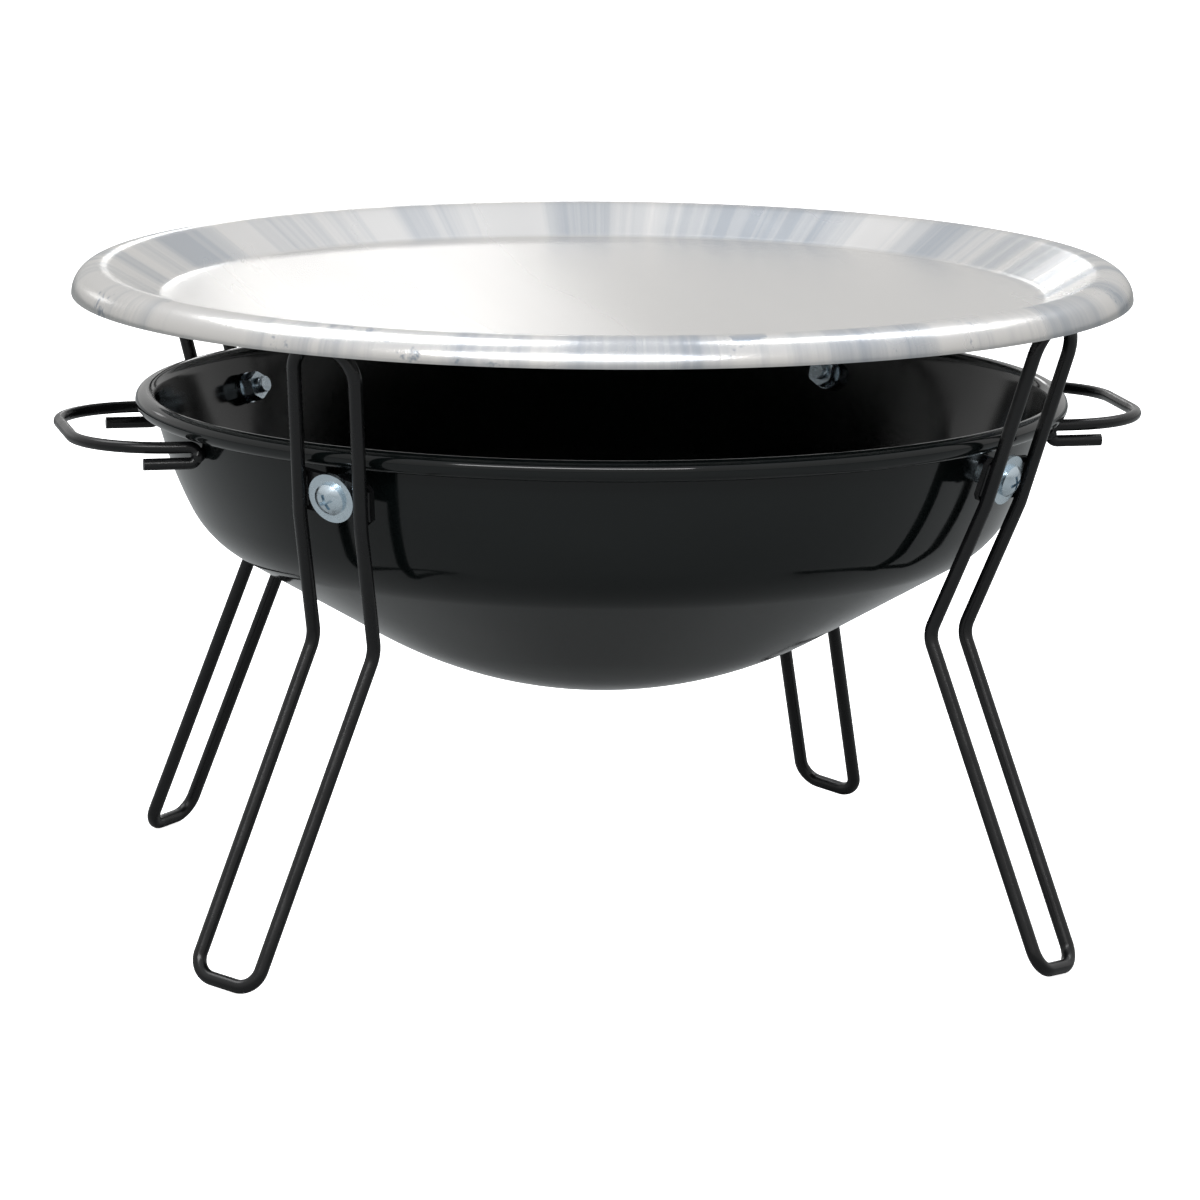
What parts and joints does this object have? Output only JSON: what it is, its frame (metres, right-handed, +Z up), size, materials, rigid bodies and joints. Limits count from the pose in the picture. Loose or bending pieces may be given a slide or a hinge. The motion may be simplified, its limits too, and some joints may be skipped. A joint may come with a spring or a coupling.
{
  "type": "portable charcoal forge",
  "caption": "Round enamelled fire bowl on splayed double-wire legs with wire side handles, a swivel screw on each leg and a lift-off steel dish on top.",
  "frame": {"origin": "middle of the floor under the feet, on the bowl's axis", "axes": "+Z up; +X out through the right handle, along the line of the two handles; +Y towards the rear, between the rear legs"},
  "size_m": [0.4146, 0.4018, 0.2454],
  "materials": {
    "enamel": "gloss black enamel",
    "wire_paint": "gloss black",
    "dish_steel": "satin",
    "zinc": "bright zinc plate"
  },
  "bodies": {
    "bowl": {"fire_bowl": "enamel", "handle_left": "wire_paint", "handle_right": "wire_paint", "weld_beads": "wire_paint", "screw_front_left": "zinc", "outer_washer_front_left": "zinc", "spacer_front_left": "zinc", "inner_washer_front_left": "zinc", "nut_front_left": "zinc", "screw_front_right": "zinc", "outer_washer_front_right": "zinc", "spacer_front_right": "zinc", "inner_washer_front_right": "zinc", "nut_front_right": "zinc", "screw_rear_right": "zinc", "outer_washer_rear_right": "zinc", "spacer_rear_right": "zinc", "inner_washer_rear_right": "zinc", "nut_rear_right": "zinc", "screw_rear_left": "zinc", "outer_washer_rear_left": "zinc", "spacer_rear_left": "zinc", "inner_washer_rear_left": "zinc", "nut_rear_left": "zinc"},
    "dish_body": {"dish": "dish_steel"},
    "leg_body_front_left": {"leg_front_left": "wire_paint", "leg_plate_front_left": "wire_paint"},
    "leg_body_front_right": {"leg_front_right": "wire_paint", "leg_plate_front_right": "wire_paint"},
    "leg_body_rear_right": {"leg_rear_right": "wire_paint", "leg_plate_rear_right": "wire_paint"},
    "leg_body_rear_left": {"leg_rear_left": "wire_paint", "leg_plate_rear_left": "wire_paint"}
  },
  "joints": [
    {"name": "leg_swivel_front_left", "type": "hinge", "parent": "bowl", "child": "leg_body_front_left", "pos_m": [-0.1183, -0.1183, 0.18253], "axis": [-0.6797, -0.6797, -0.2756], "range_deg": [-6.5, 23.5]},
    {"name": "leg_swivel_front_right", "type": "hinge", "parent": "bowl", "child": "leg_body_front_right", "pos_m": [0.1183, -0.1183, 0.18253], "axis": [0.6797, -0.6797, -0.2756], "range_deg": [-9.5, 20.5]},
    {"name": "leg_swivel_rear_right", "type": "hinge", "parent": "bowl", "child": "leg_body_rear_right", "pos_m": [0.1183, 0.1183, 0.18253], "axis": [0.6797, 0.6797, -0.2756], "range_deg": [-23.5, 6.5]},
    {"name": "leg_swivel_rear_left", "type": "hinge", "parent": "bowl", "child": "leg_body_rear_left", "pos_m": [-0.1183, 0.1183, 0.18253], "axis": [-0.6797, 0.6797, -0.2756], "range_deg": [-12.5, 17.5]},
    {"name": "dish_lift", "type": "slide", "parent": "bowl", "child": "dish_body", "axis": [0, 0, 1], "range_m": [0, 0.3]}
  ]
}
